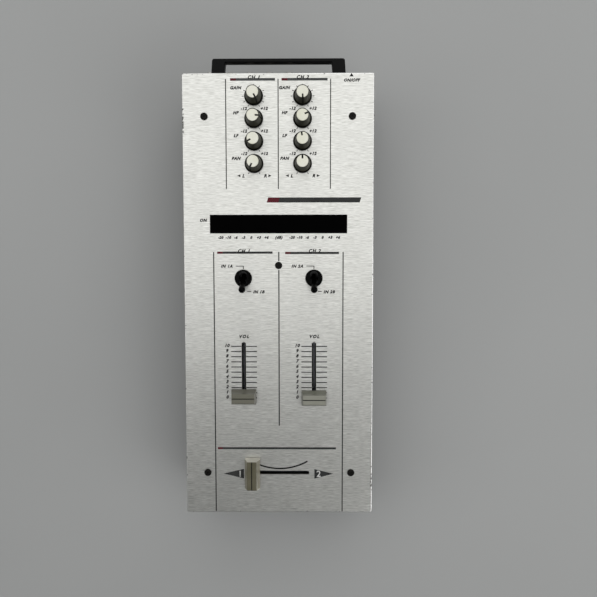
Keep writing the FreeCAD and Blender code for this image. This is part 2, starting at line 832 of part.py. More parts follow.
# The eight rotary controls, each a knob, its top disc and its shaft
shaft_base = control_board_top + mm.pot_floor + mm.end_gap
for name, (x, y) in knob_spots.items():
    turn = -getattr(mm, f"{name}_turn")
    cap = knob(f"{name}_knob", mm.knob_skirt, mm.knob_waist, mm.knob_shoulder, inset=True)
    place(cap, x, y, mm.panel_top + mm.knob_gap, UP, turn)
    node(f"{name}_knob", cap)
    disc = knob_insert(f"{name}_insert")
    place(disc, x, y, mm.panel_top + mm.knob_gap + mm.knob_height - mm.insert_thick, UP, turn)
    node(f"{name}_insert", disc)
    shaft = knob_shaft(f"{name}_shaft", mm.sub_thick + mm.plate_thick)
    place(shaft, x, y, shaft_base, UP, turn)
    node(f"{name}_shaft", shaft)

# Front knobs for headphone level and crossfader curve: the same pots turned to face forward
for name, x in (("phones_level", phones_level_x), ("curve", curve_x)):
    cap = knob(f"{name}_knob", mm.front_knob_skirt, mm.front_knob_waist, mm.front_knob_tip, inset=False)
    place(cap, x, front_wall - mm.knob_gap, mm.front_z, RIGHT, 90)
    node(f"{name}_knob", cap)
    shaft = knob_shaft(f"{name}_shaft", mm.tray_wall)
    place(shaft, x, front_pot_y - mm.pot_floor - mm.end_gap, mm.front_z, RIGHT, 90)
    node(f"{name}_shaft", shaft)

# Input toggles: body and boss with a well, a collar with wrench flats, and a lever on a cross pin
toggle = new_body("toggle_pattern")
boss_length = mm.sub_thick + mm.plate_thick
toggle_block = Outline(toggle).rectangle(Size(0), Size(0), mm.toggle_body, mm.toggle_body)
pad(toggle, toggle_block, mm.toggle_body_height)
pad(toggle, Outline(toggle, offset=mm.toggle_body_height).circle(0, 0, mm.toggle_boss), boss_length)
toggle_top = mm.toggle_body_height + boss_length
well = Outline(toggle, offset=toggle_top)
well.slot(0, 0, mm.toggle_well_length, mm.toggle_well_width, turned=True)
pocket(toggle, well, mm.toggle_well_depth)
pivot_hole = Outline(toggle, "YZ_Plane")
pivot_hole.circle(0, toggle_top - mm.pivot_drop, mm.pivot_radius + mm.running_gap)
pocket(toggle, pivot_hole, mm.pivot_length + mm.end_gap * 2, both=True)
toggle_base = sub_under - mm.toggle_body_height
group("toggle_bodies", *[(toggle, (x, y, toggle_base)) for x, y in toggle_spots])

collar = new_body("collar_pattern")
pad(collar, Outline(collar).circle(0, 0, mm.collar_radius), mm.collar_height)
soften(collar, lambda edge: lies_at(edge, "Z", mm.collar_height), mm.collar_round)
flats = Outline(collar, offset=mm.collar_height)
for side in SIDES:
    flats.rectangle(
        (mm.collar_flats / 2 + mm.collar_radius) * side, Size(0), mm.collar_radius * 2, mm.collar_radius * 3
    )
pocket(collar, flats, mm.collar_height - mm.collar_step)
collar_slot = Outline(collar, offset=mm.collar_height)
collar_slot.slot(0, 0, mm.collar_slot, mm.toggle_well_width, turned=True)
pocket(collar, collar_slot)
group("toggle_collars", *[(collar, (x, y, mm.panel_top)) for x, y in toggle_spots])


def toggle_lever(label):
    """A bat lever about its pivot: tapered bar with a round tip, a tail and a cross pin."""
    body = new_body(label)
    lever_top = mm.lever_reach + mm.lever_tip
    revolve(
        body,
        (Size(0), -mm.lever_tail), (mm.lever_root, -mm.lever_tail), (mm.lever_root, mm.lever_tail),
        (mm.lever_tip, mm.lever_reach), (mm.lever_tip, lever_top), (Size(0), lever_top),
    )
    soften(body, lambda edge: lies_at(edge, "Z", lever_top), mm.lever_tip - mm.lever_flat)
    pin = Outline(body, "YZ_Plane").circle(0, 0, mm.pivot_radius)
    pad(body, pin, mm.pivot_length, both=True)
    return body


for channel, (x, y) in zip((1, 2), toggle_spots):
    lever = toggle_lever(f"toggle_{channel}_lever")
    place(lever, x, y, mm.panel_top - mm.pivot_drop, RIGHT, mm.lever_tilt)
    node(f"toggle_{channel}_lever", lever)

# Fader modules: an open channel with end tabs, two guide rods, a carriage with its stem, and a cap
frame = new_body("frame_pattern")
pad(frame, Outline(frame).rectangle(Size(0), Size(0), mm.frame_width, frame_length), mm.frame_height)
trough = Outline(frame, offset=mm.frame_height)
trough.rectangle(Size(0), Size(0), mm.frame_width - mm.frame_wall * 2, frame_length - mm.frame_wall * 2)
pocket(frame, trough, mm.frame_height - mm.frame_wall)
tabs = Outline(frame, offset=mm.frame_height)
tab_holes = Outline(frame, offset=mm.frame_height)
for end in SIDES:
    tabs.rectangle(Size(0), tab_screw_reach * end, mm.frame_width, mm.frame_tab)
    tab_holes.circle(0, tab_screw_reach * end, screw_pass)
pad(frame, tabs, mm.frame_wall, down=True)
pocket(frame, tab_holes, mm.frame_wall)
rod_level = mm.frame_height - mm.rod_drop
rod_holes = Outline(frame, "XZ_Plane")
for side in SIDES:
    rod_holes.circle(mm.rod_spread / 2 * side, rod_level, mm.rod_radius + mm.running_gap)
pocket(frame, rod_holes, both=True)

cue_body = new_body("cue_body_pattern")
cue_body_width = cue_slot_length + mm.cue_body_height
cue_block = Outline(cue_body, "XZ_Plane").rectangle(Size(0), Size(0), cue_body_width, mm.cue_body_height)
pad(cue_body, cue_block, mm.cue_body_depth, down=True)
cue_track = Outline(cue_body, "XZ_Plane").slot(0, 0, cue_slot_length, mm.cue_slot)
pocket(cue_body, cue_track, mm.cue_track_depth + mm.end_gap)

frames = [(cue_body, (mm.cue_x, front_wall + mm.tray_wall, mm.front_z))]
rods = []
rod = new_body("rod_pattern")
pad(rod, Outline(rod, "XZ_Plane").circle(0, 0, mm.rod_radius), frame_length, both=True)
frame_base = sub_under - mm.frame_height
for x, y, turned in fader_spots:
    frames.append((frame, (x, y, frame_base) if turned else (x, y, frame_base, UP, 90)))
    for side in SIDES:
        shift = mm.rod_spread / 2 * side
        spot = (x + shift, y, frame_base + rod_level)
        if not turned:
            spot = (x, y + shift, frame_base + rod_level, UP, 90)
        rods.append((rod, spot))
group("fader_frames", *frames)
group("fader_rods", *rods)


def fader_carriage(label):
    """A block on two rods with a thin stem up through the slot into the cap."""
    body = new_body(label)
    block = Outline(body, offset=-mm.carriage_height / 2)
    block.rectangle(Size(0), Size(0), mm.carriage_width, mm.carriage_length)
    pad(body, block, mm.carriage_height)
    holes = Outline(body, "XZ_Plane")
    for rod_side in SIDES:
        holes.circle(mm.rod_spread / 2 * rod_side, 0, mm.rod_radius + mm.running_gap)
    pocket(body, holes, both=True)
    stem = Outline(body).rectangle(Size(0), Size(0), mm.stem_across, mm.stem_along)
    rise = mm.rod_drop + mm.sub_thick + mm.plate_thick + mm.cap_gap + mm.cap_socket - mm.end_gap
    pad(body, stem, rise)
    return body


def fader_cap(label, across, crest_across):
    """A hollow cap: dished front and rear slopes, sloped ends, a line across its crest and a stem socket."""
    body = new_body(label)
    base, crest = mm.cap_along / 2, mm.cap_crest / 2
    waist = (base + crest) / 2 - mm.cap_dish
    waist_height = (mm.cap_rim + mm.cap_height) / 2
    section = Outline(body, "YZ_Plane")
    section.polygon(
        (-base, Size(0)), (base, Size(0)), (base, mm.cap_rim), (waist, waist_height), (crest, mm.cap_height),
        (-crest, mm.cap_height), (-waist, waist_height), (-base, mm.cap_rim),
    )
    pad(body, section, across, both=True)
    ends = Outline(body, "XZ_Plane")
    for side in SIDES:
        ends.polygon(
            (across / 2 * side, mm.cap_rim), (across * side, mm.cap_rim),
            (across * side, mm.cap_height), (crest_across / 2 * side, mm.cap_height),
        )
    pocket(body, ends, both=True)
    soften(body, lambda edge: lies_at(edge, "Z", mm.cap_height), mm.cap_round)
    hollow_outline = Outline(body)
    hollow_outline.rectangle(Size(0), Size(0), across - mm.cap_wall * 2, mm.cap_hollow_along)
    pocket(body, hollow_outline, mm.cap_hollow, up=True)
    boss = Outline(body, offset=mm.cap_hollow)
    boss.rectangle(Size(0), Size(0), mm.stem_across + mm.cap_boss * 2, mm.stem_along + mm.cap_boss)
    pad(body, boss, mm.cap_hollow, down=True)
    stem_socket = Outline(body)
    stem_socket.rectangle(
        Size(0), Size(0), mm.stem_across + mm.fit_gap, mm.stem_along + mm.fit_gap
    )
    pocket(body, stem_socket, mm.cap_socket, up=True)
    line = Outline(body, offset=mm.cap_height).rectangle(Size(0), Size(0), across * 2, mm.cap_line)
    pocket(body, line, mm.cap_line_depth)
    return body


lowest = -mm.fader_travel / 2
level_cap = (mm.cap_across, mm.cap_crest_across)
cross_cap = (mm.cross_cap_across, mm.cross_cap_crest_across)
fader_rests = (
    ("level_fader_1", mm.fader_1_rest, level_cap, fader_spots[0]),
    ("level_fader_2", mm.fader_2_rest, level_cap, fader_spots[1]),
    ("crossfader", mm.cross_rest, cross_cap, fader_spots[2]),
)
for name, rest, cap_spans, (x, y, turned) in fader_rests:
    step = lowest + rest
    spot = (x, y + step) if turned else (x + step, y)
    carriage = fader_carriage(f"{name}_carriage")
    cap = fader_cap(f"{name}_cap", *cap_spans)
    for piece, level in ((carriage, frame_base + rod_level), (cap, mm.panel_top + mm.cap_gap)):
        if turned:
            place(piece, *spot, level)
        else:
            place(piece, *spot, level, UP, 90)
    node(f"{name}_carriage", carriage)
    node(f"{name}_cap", cap)

# Cue slider on the front wall: one moulded cap and stem
cue = new_body("cue_slider")
cue_stem = Outline(cue, "XZ_Plane").rectangle(Size(0), Size(0), mm.cue_stem, mm.cue_stem)
pad(cue, cue_stem, mm.tray_wall + mm.cue_track_depth + mm.knob_gap, down=True)
cue_cap = Outline(cue, "XZ_Plane").rectangle(Size(0), Size(0), mm.cue_cap_width, mm.cue_cap_height)
pad(cue, cue_cap, mm.cue_cap_length)
soften(
    cue, lambda edge: lies_at(edge, "Y", -mm.cue_cap_length) and runs_along(edge, "Z"), mm.cap_round
)
cue_line = Outline(cue, "XZ_Plane", mm.cue_cap_length)
cue_line.rectangle(Size(0), Size(0), mm.cue_cap_line, mm.cue_cap_height * 2)
pocket(cue, cue_line, mm.cap_line_depth)
place(cue, mm.cue_x, front_wall - mm.knob_gap, mm.front_z)
node("cue_slider", cue)

# Headphone jack: bezel outside the wall, bush through it and a body with a blind bore behind it
phones = new_body("phones_jack")
pad(phones, Outline(phones, "XZ_Plane").circle(0, 0, mm.phones_bezel), mm.phones_bezel_thick)
pad(phones, Outline(phones, "XZ_Plane").circle(0, 0, mm.phones_bush), mm.tray_wall, down=True)
phones_block = Outline(phones, "XZ_Plane", -mm.tray_wall)
phones_block.rectangle(Size(0), Size(0), mm.phones_body, mm.phones_body)
phones_inner = mm.phones_depth - mm.phones_bezel_thick - mm.tray_wall + mm.phones_end
pad(phones, phones_block, phones_inner, down=True)
phones_bore = Outline(phones, "XZ_Plane", mm.phones_bezel_thick).circle(0, 0, mm.phones_bore)
pocket(phones, phones_bore, mm.phones_depth)
place(phones, phones_x, front_wall, mm.front_z)
node("phones_jack", phones)

# Rear handle: a tapered bow screwed to the rear wall from inside
handle = new_body("rear_handle")
root, tip = mm.handle_width / 2, mm.handle_width / 2 - mm.handle_taper
bow = Outline(handle)
bow.polygon(
    (-root, Size(0)), (-root + mm.handle_leg, Size(0)),
    (-tip + mm.handle_leg, mm.handle_reach - mm.handle_grip),
    (tip - mm.handle_leg, mm.handle_reach - mm.handle_grip),
    (root - mm.handle_leg, Size(0)), (root, Size(0)), (tip, mm.handle_reach), (-tip, mm.handle_reach),
)
pad(handle, bow, mm.handle_depth)
grip_inside = mm.handle_reach - mm.handle_grip
for level, corner in ((mm.handle_reach, mm.handle_corner), (grip_inside, mm.handle_inner_corner)):
    soften(handle, lambda edge: runs_along(edge, "Z") and lies_at(edge, "Y", level), corner)
soften(
    handle,
    lambda edge: (lies_at(edge, "Z", Size(0)) or lies_at(edge, "Z", mm.handle_depth))
    and not lies_at(edge, "Y", Size(0)),
    mm.handle_round,
)
handle_threads = Outline(handle, "XZ_Plane")
for side in SIDES:
    handle_threads.circle(handle_screw_x * side, mm.handle_depth / 2, screw_thread)
pocket(handle, handle_threads, mm.handle_thread)
place(handle, 0, rear_wall, handle_low)
node("rear_handle", handle)

# Phono sockets: a turned shell with a flange against the wall, and the insulator that fills it
shell = new_body("shell_pattern")
revolve(
    shell,
    (mm.phono_bore, -mm.phono_inner_length), (mm.phono_thread, -mm.phono_inner_length),
    (mm.phono_thread, Size(0)), (mm.phono_flange, Size(0)), (mm.phono_flange, mm.phono_flange_thick),
    (mm.phono_radius, mm.phono_flange_thick), (mm.phono_radius, mm.phono_flange_thick + mm.phono_length),
    (mm.phono_bore, mm.phono_flange_thick + mm.phono_length),
)
insulator = new_body("insulator_pattern")
insulator_radius = mm.phono_bore - mm.running_gap
insulator_top = mm.phono_flange_thick + mm.phono_length - mm.phono_recess
revolve(
    insulator,
    (Size(0), -mm.phono_inner_length), (insulator_radius, -mm.phono_inner_length),
    (insulator_radius, insulator_top), (mm.phono_pin_hole, insulator_top),
    (mm.phono_pin_hole, mm.phono_pin_floor), (Size(0), mm.phono_pin_floor),
)
group("phono_shells", *[(shell, (x, rear_wall, z, RIGHT, -90)) for x, z in phono_spots])
group("phono_insulators", *[(insulator, (x, rear_wall, z, RIGHT, -90)) for x, z in phono_spots])

# Earth posts: a thumb nut and washer on a stud through the wall
post = new_body("post_pattern")
post_top = mm.earth_washer_thick + mm.earth_length
revolve(
    post,
    (Size(0), -mm.earth_inner_length), (mm.earth_stem, -mm.earth_inner_length), (mm.earth_stem, Size(0)),
    (mm.earth_washer, Size(0)), (mm.earth_washer, mm.earth_washer_thick),
    (mm.earth_radius, mm.earth_washer_thick), (mm.earth_radius, post_top), (Size(0), post_top),
)
soften(post, lambda edge: lies_at(edge, "Z", post_top), mm.cap_round, "PartDesign::Chamfer")
group("earth_posts", *[(post, (x, rear_wall, z, RIGHT, -90)) for x, z in earth_spots])

# Power inlet: flange, nose and body with a round well and its centre pin
inlet = new_body("power_inlet")
pad(inlet, Outline(inlet).circle(0, 0, mm.inlet_flange), mm.inlet_flange_thick)
pad(inlet, Outline(inlet).circle(0, 0, mm.inlet_nose), mm.tray_wall, down=True)
inlet_block = Outline(inlet, offset=-mm.tray_wall).rectangle(Size(0), Size(0), mm.inlet_body, mm.inlet_body)
pad(inlet, inlet_block, mm.inlet_body_depth, down=True)
inlet_well = Outline(inlet, offset=mm.inlet_flange_thick).circle(0, 0, mm.inlet_bore)
pocket(inlet, inlet_well, mm.inlet_bore_depth)
inlet_pin = Outline(inlet, offset=mm.inlet_flange_thick - mm.inlet_bore_depth).circle(0, 0, mm.inlet_pin)
pad(inlet, inlet_pin, mm.inlet_bore_depth - mm.inlet_flange_thick)
place(inlet, inlet_x, rear_wall, mm.inlet_z, RIGHT, -90)
node("power_inlet", inlet)

# Power switch: bezel and body with a round well, and the rocker that turns in it
switch = new_body("power_switch")
bezel = Outline(switch, "XZ_Plane")
bezel.rectangle(Size(0), Size(0), mm.switch_bezel_width, mm.switch_bezel_height)
pad(switch, bezel, mm.switch_bezel_thick, down=True)
switch_block = Outline(switch, "XZ_Plane").rectangle(Size(0), Size(0), mm.switch_width, mm.switch_height)
pad(switch, switch_block, mm.switch_depth)
rocker_well = Outline(switch, "YZ_Plane")
rocker_well.circle(mm.rocker_pivot, 0, mm.rocker_radius + mm.rocker_gap)
pocket(switch, rocker_well, mm.rocker_width + mm.rocker_gap * 2, both=True)
place(switch, switch_x, rear_wall, mm.switch_z)
node("power_switch", switch)

rocker = new_body("power_rocker")
pad(rocker, Outline(rocker, "YZ_Plane").circle(0, 0, mm.rocker_radius), mm.rocker_width, both=True)
rocker_face = Outline(rocker, "YZ_Plane")
rocker_face.polygon(
    (mm.rocker_lip, -mm.rocker_radius), (mm.rocker_dip, Size(0)), (mm.rocker_lip, mm.rocker_radius),
    (mm.rocker_radius * 2, mm.rocker_radius), (mm.rocker_radius * 2, -mm.rocker_radius),
)
pocket(rocker, rocker_face, mm.rocker_width * 2, both=True)
place(rocker, switch_x, rear_wall + mm.rocker_pivot, mm.switch_z, RIGHT, mm.rocker_tilt)
node("power_rocker", rocker)

doc.recompute()
failed = [thing.Label for thing in doc.Objects if {"Invalid", "Error"} & set(thing.State)]
unsound = [label for label, thing in nodes.items() if thing.Shape.isNull() or not thing.Shape.isValid()]
if failed or unsound:
    raise RuntimeError(f"failed objects {failed}, unsound shapes {unsound}")

os.makedirs("parts", exist_ok=True)
for label, thing in nodes.items():
    thing.Shape.exportStep(f"parts/{label}.step")
print(len(nodes), "sub-parts,", sum(len(thing.Shape.Solids) for thing in nodes.values()), "solids")
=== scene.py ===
import math

import bmesh
import bpy
from mathutils import Matrix, Vector


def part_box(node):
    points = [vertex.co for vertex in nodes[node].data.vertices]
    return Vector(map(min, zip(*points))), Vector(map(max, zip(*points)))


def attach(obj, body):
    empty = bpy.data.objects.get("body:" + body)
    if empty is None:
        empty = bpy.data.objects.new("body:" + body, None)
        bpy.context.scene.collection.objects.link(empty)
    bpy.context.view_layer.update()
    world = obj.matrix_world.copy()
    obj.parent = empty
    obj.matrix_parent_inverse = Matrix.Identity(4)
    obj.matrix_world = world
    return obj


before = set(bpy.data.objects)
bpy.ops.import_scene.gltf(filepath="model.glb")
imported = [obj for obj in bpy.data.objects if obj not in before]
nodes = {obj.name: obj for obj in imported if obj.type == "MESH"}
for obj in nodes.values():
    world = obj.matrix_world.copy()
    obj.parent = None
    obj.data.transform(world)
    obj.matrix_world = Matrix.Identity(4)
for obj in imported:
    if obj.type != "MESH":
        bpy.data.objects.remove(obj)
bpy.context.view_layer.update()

# Case: a folded steel tray under the panel, and the screws that close it.
# The tray is powder coated in black with a fine pebble; the screws are blackened steel.


class Shade:
    """One socket of a material's nodes. Sums and products of shades and numbers add Math nodes."""

    def __init__(self, tree, socket=None):
        self.tree = tree
        self.socket = socket

    def node(self, kind, settings=None, inputs=None, output=0):
        """Adds a node of that kind: its settings first, then the values or links of its sockets."""
        made = self.tree.nodes.new(kind)
        for name, value in (settings or {}).items():
            setattr(made, name, value)
        for name, value in (inputs or {}).items():
            socket = next(s for s in made.inputs if s.identifier == name)
            self.feed(socket, value)
        return Shade(self.tree, made.outputs[output])

    def feed(self, socket, value):
        if isinstance(value, Shade):
            self.tree.links.new(value.socket, socket)
        else:
            socket.default_value = value

    def maths(self, operation, first, second=0.0):
        return self.node("ShaderNodeMath", {"operation": operation}, {"Value": first, "Value_001": second})

    def __add__(self, other):
        return self.maths("ADD", self, other)

    def __sub__(self, other):
        return self.maths("SUBTRACT", self, other)

    def __rsub__(self, other):
        return self.maths("SUBTRACT", other, self)

    def __mul__(self, other):
        return self.maths("MULTIPLY", self, other)

    def __abs__(self):
        return self.maths("ABSOLUTE", self)

    __radd__ = __add__
    __rmul__ = __mul__

    def rises(self, low, high):
        """0 below low, 1 above high, and smooth between them."""
        return self.node(
            "ShaderNodeMapRange",
            {"interpolation_type": "SMOOTHSTEP"},
            {"Value": self, "From Min": low, "From Max": high},
        )

    def falls(self, low, high):
        """1 below low, 0 above high, and smooth between them."""
        return 1.0 - self.rises(low, high)

    def spot(self):
        """The point of the piece, in metres."""
        return self.node("ShaderNodeTexCoord", output=3)

    def parts(self):
        """The three coordinates of that point."""
        point = self.node("ShaderNodeSeparateXYZ", None, {"Vector": self.spot()}).socket.node
        return [Shade(self.tree, socket) for socket in point.outputs]

    def stretched(self, along):
        """The point of the piece, scaled along each axis, so that a grain runs one way."""
        return self.node("ShaderNodeMapping", None, {"Vector": self.spot(), "Scale": along})

    def noise(self, scale, detail=2.0, where=None):
        return self.node(
            "ShaderNodeTexNoise",
            None,
            {"Vector": where or self.spot(), "Scale": scale, "Detail": detail},
        )

    def mixed(self, factor, first, second):
        colours = {"Factor_Float": factor, "A_Color": first, "B_Color": second}
        return self.node("ShaderNodeMix", {"data_type": "RGBA"}, colours, output=2)


def srgb(red, green, blue):
    """A colour as it looks on screen, from 0 to 255, as the shader wants it."""
    linear = []
    for level in (red, green, blue):
        share = level / 255
        linear.append(((share + 0.055) / 1.055) ** 2.4 if level > 10 else share / 12.92)
    return (*linear, 1.0)


def new_finish(name, metallic=0.0, specular=0.5):
    material = bpy.data.materials.new(name)
    material.use_nodes = True
    shader = material.node_tree.nodes["Principled BSDF"]
    shader.inputs["Metallic"].default_value = metallic
    shader.inputs["Specular IOR Level"].default_value = specular
    return material, shader, Shade(material.node_tree)


def coat(shader, shade, colour, roughness, height=None, depth=0.0):
    """Links what varies over the surface: colour, roughness and a relief of that depth in metres."""
    shade.feed(shader.inputs["Base Color"], colour)
    shade.feed(shader.inputs["Roughness"], roughness)
    if height is not None:
        relief = {"Height": height, "Distance": depth, "Strength": 1.0}
        shade.feed(shader.inputs["Normal"], shade.node("ShaderNodeBump", None, relief))


def moulded(name, dark, light, grain, depth, roughness, specular=0.5):
    """An even surface with a fine grain, faint blotches of tone and a roughness that wanders."""
    blotch_scale = 90.0
    wander = 0.16
    material, shader, shade = new_finish(name, specular=specular)
    fine = shade.noise(grain, 3.0)
    broad = shade.noise(blotch_scale, 2.0)
    tone = fine * 0.45 + broad * 0.55
    colour = shade.mixed(tone.rises(0.3, 0.7), srgb(*dark), srgb(*light))
    coat(shader, shade, colour, broad * wander + (roughness - wander / 2), fine, depth)
    return material


def dress(material, *names):
    for name in names:
        slots = nodes[name].data.materials
        slots.clear()
        slots.append(material)


powder_black = moulded("powder_black", (25, 25, 26), (32, 32, 33), 2600.0, 0.00006, 0.5, specular=0.3)
black_steel = moulded("black_steel", (12, 12, 11), (26, 25, 22), 1800.0, 0.00002, 0.45, specular=0.12)
dress(powder_black, "bottom_tray")
dress(black_steel, "case_screws", "faceplate_screws")

# Feet: four turned rubber feet that snap into the floor of the tray.
# Soft black rubber, dull, with the dust that such feet pick up.
foot_rubber = moulded("foot_rubber", (20, 20, 20), (46, 45, 44), 900.0, 0.00005, 0.78, specular=0.3)
dress(foot_rubber, "rubber_feet")

# Boards: two circuit boards on bosses, under the controls and on the tray.
# Glass cloth laminate under a green lacquer; the weave of the cloth just shows through.
laminate, laminate_shader, laminate_shade = new_finish("laminate")
weave = laminate_shade.node(
    "ShaderNodeTexChecker",
    None,
    {"Vector": laminate_shade.spot(), "Scale": 1600.0},
    output=1,
)
cloth = weave * 0.25 + laminate_shade.noise(240.0) * 0.75
laminate_colour = laminate_shade.mixed(cloth, srgb(14, 52, 30), srgb(34, 88, 52))
coat(laminate_shader, laminate_shade, laminate_colour, 0.3 + cloth * 0.1, weave, 0.00001)
dress(laminate, "control_board", "main_board")

# Sub-panel, fader frames and rods, pot bodies and shafts: pressed and turned steel under the faceplate.
# Zinc plated, so the metal shows a faint bright spangle and a bluish grey tone.
zinc, zinc_shader, zinc_shade = new_finish("zinc", metallic=1.0)
spangle = zinc_shade.node(
    "ShaderNodeTexVoronoi",
    None,
    {"Vector": zinc_shade.spot(), "Scale": 260.0},
)
zinc_tone = spangle * 0.5 + zinc_shade.noise(120.0) * 0.6
zinc_colour = zinc_shade.mixed(zinc_tone, srgb(150, 153, 156), srgb(196, 199, 203))
coat(zinc_shader, zinc_shade, zinc_colour, 0.28 + zinc_tone * 0.2, spangle, 0.000008)
knob_names = [f"{role}_{channel}" for role in ("gain", "treble", "bass", "balance") for channel in (1, 2)]
shaft_names = [f"{name}_shaft" for name in knob_names] + ["phones_level_shaft", "curve_shaft"]
dress(zinc, "sub_panel", "fader_frames", "fader_rods", "pot_bodies", *shaft_names)

# Mouldings: switch bodies, sliding carriages, the jack, the inlet and the power switch.
# Injection moulded nylon in black, with a light spark-eroded texture.
black_nylon = moulded("black_nylon", (18, 18, 19), (34, 34, 34), 3200.0, 0.00003, 0.42)
carriage_names = [f"{name}_carriage" for name in ("level_fader_1", "level_fader_2", "crossfader")]
dress(black_nylon, "toggle_bodies", "phones_jack", "power_inlet", "power_switch", "power_rocker")
dress(black_nylon, *carriage_names)

# Rear sockets: turned brass shells pressed into white insulators, and two earth posts.
# The brass is nickel plated, bright with fine turning marks round each shell.
nickel, nickel_shader, nickel_shade = new_finish("nickel", metallic=1.0)
turning = nickel_shade.noise(1.0, 3.0, nickel_shade.stretched((300.0, 4200.0, 300.0)))
nickel_colour = nickel_shade.mixed(turning, srgb(168, 164, 156), srgb(214, 210, 202))
coat(nickel_shader, nickel_shade, nickel_colour, 0.16 + turning * 0.16, turning, 0.000006)
dress(nickel, "phono_shells", "earth_posts")
white_nylon = moulded("white_nylon", (206, 204, 196), (228, 226, 219), 1500.0, 0.00002, 0.45)
dress(white_nylon, "phono_insulators")

# Meter: small lamps on the upper board behind a smoked window let into the faceplate.
# Diffused lenses, unlit; the window is dark acrylic, polished and nearly black from outside.
lens = moulded("lens", (96, 34, 30), (130, 52, 44), 700.0, 0.00001, 0.3)
dress(lens, "meter_lamps")
smoke, smoke_shader, smoke_shade = new_finish("smoke", specular=0.01)
haze = smoke_shade.noise(60.0, 4.0)
scuffs = smoke_shade.noise(1.0, 4.0, smoke_shade.stretched((180.0, 2400.0, 500.0)))
smoke_colour = smoke_shade.mixed(haze, srgb(0, 0, 0), srgb(3, 3, 3))
coat(smoke_shader, smoke_shade, smoke_colour, 0.05 + scuffs.rises(0.5, 0.8) * 0.12)
dress(smoke, "meter_window")

# Faceplate: 2 mm aluminium sheet with every hole punched, screwed down on the sub-panel.
# Brushed from side to side and clear anodised; the edges are rubbed bright in patches, and the whole right
# edge is painted bright as a painted highlight, with a few dark nicks and one knocked stretch on each side.
plate_low, plate_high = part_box("faceplate")
brushed, brushed_shader, brushed_shade = new_finish("brushed", metallic=1.0)
strokes = brushed_shade.noise(1.0, 1.0, brushed_shade.stretched((200.0, 4200.0, 4200.0)))
long_strokes = brushed_shade.noise(1.0, 1.0, brushed_shade.stretched((60.0, 3400.0, 3400.0)))
blotches = brushed_shade.noise(26.0, 3.0)
brushing = strokes * 0.55 + long_strokes * 0.45
brushed_colour = brushed_shade.mixed(brushing.rises(0.38, 0.62), srgb(204, 204, 198), srgb(247, 247, 242))
brushed_colour = brushed_shade.mixed(blotches.rises(0.4, 0.8) * 0.2, brushed_colour, srgb(206, 206, 202))
plate_x, plate_y, _ = brushed_shade.parts()
to_side = plate_high.x - abs(plate_x)
to_end = plate_high.y - abs(plate_y)
to_edge = brushed_shade.maths("MINIMUM", to_side, to_end)
# Bright edges: random rubbed patches plus the whole right side, which is a painted highlight; the bright
# edge also gets a lower roughness.
worn_patches = brushed_shade.noise(70.0, 4.0).rises(0.4, 0.7) * 0.6
worn_and_highlight = brushed_shade.maths("MAXIMUM", worn_patches, plate_x.rises(0.0, 0.02))
rubbed_and_highlight = to_edge.falls(0.0003, 0.0014) * worn_and_highlight
brushed_colour = brushed_shade.mixed(rubbed_and_highlight, brushed_colour, srgb(246, 246, 244))
left_knock_y = 0.139
right_knock_y = -0.15
knocked_left = abs(plate_y - left_knock_y).falls(0.005, 0.013) * plate_x.falls(-0.01, 0.0)
knocked_right = abs(plate_y - right_knock_y).falls(0.003, 0.01) * plate_x.rises(0.0, 0.01)
knocks = brushed_shade.noise(560.0, 3.0) + knocked_left * 0.17 + knocked_right * 0.15
nicked = to_edge.falls(0.0006, 0.0021) * knocks.rises(0.64, 0.68)
brushed_colour = brushed_shade.mixed(nicked * 0.9, brushed_colour, srgb(60, 60, 58))
polish = 1.0 - rubbed_and_highlight * 0.5
coat(brushed_shader, brushed_shade, brushed_colour, (0.33 + brushing * 0.12) * polish, brushing, 0.000012)
dress(brushed, "faceplate")

# Prints: lines that divide the panel, bars with red ends, scales, arrows, and the dark edges of two slots.
# Screen printed in black, two greys and dark red, a few hundredths of a millimetre thick.
panel_top = plate_high.z
ink_thick = 0.00003
mm = 0.001


def outline(ink, *points):
    """A flat shape on the panel, from its corners in millimetres, counter-clockwise."""
    return ink.faces.new([ink.verts.new((x * mm, y * mm, 0.0)) for x, y in points])


def stripe(ink, left, low, right, high, lean=0.0):
    return outline(ink, (left, low), (right, low), (right + lean, high), (left + lean, high))


def make_piece(name, shape, material, body):
    mesh = bpy.data.meshes.new(name)
    shape.to_mesh(mesh)
    shape.free()
    mesh.materials.append(material)
    piece = bpy.data.objects.new(name, mesh)
    bpy.context.scene.collection.objects.link(piece)
    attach(piece, body)


def print_on_panel(name, ink, material):
    """Gives the flat shapes the thickness of the ink, and lays them on the panel."""
    grown = bmesh.ops.extrude_face_region(ink, geom=ink.faces[:])
    raised = [v for v in grown["geom"] if isinstance(v, bmesh.types.BMVert)]
    bmesh.ops.translate(ink, verts=raised, vec=(0.0, 0.0, ink_thick))
    bmesh.ops.recalc_face_normals(ink, faces=ink.faces[:])
    bmesh.ops.translate(ink, verts=ink.verts[:], vec=(0.0, 0.0, panel_top))
    make_piece(name, ink, material, "case")


def panel_ink(name, dark, light, roughness=0.6, specular=0.2):
    return moulded(name, dark, light, 1400.0, 0.000004, roughness, specular)


grey_ink = panel_ink("grey_ink", (68, 69, 69), (88, 89, 88))
slate_ink = panel_ink("slate_ink", (44, 45, 45), (62, 63, 62))
red_ink = panel_ink("red_ink", (84, 24, 34), (104, 32, 42))
black_ink = panel_ink("black_ink", (10, 10, 11), (26, 26, 26))
white_ink = panel_ink("white_ink", (205, 205, 202), (226, 226, 222), 0.55, 0.5)

lines = bmesh.new()
short_line_half = 0.38
long_line_half = 0.43
for x in (-41.3, 0.0, 41.3):
    stripe(lines, x - short_line_half, 86.7, x + short_line_half, 172.3)
for x in (-52.0, 51.6):
    stripe(lines, x - long_line_half, -176.0, x + long_line_half, 36.8)
for low, high in ((29.6, 36.8), (-104.5, 22.4)):
    stripe(lines, -0.3, low, 0.62, high)
print_on_panel("divider_lines", lines, black_ink)

bars = bmesh.new()
sections = bmesh.new()
red = bmesh.new()


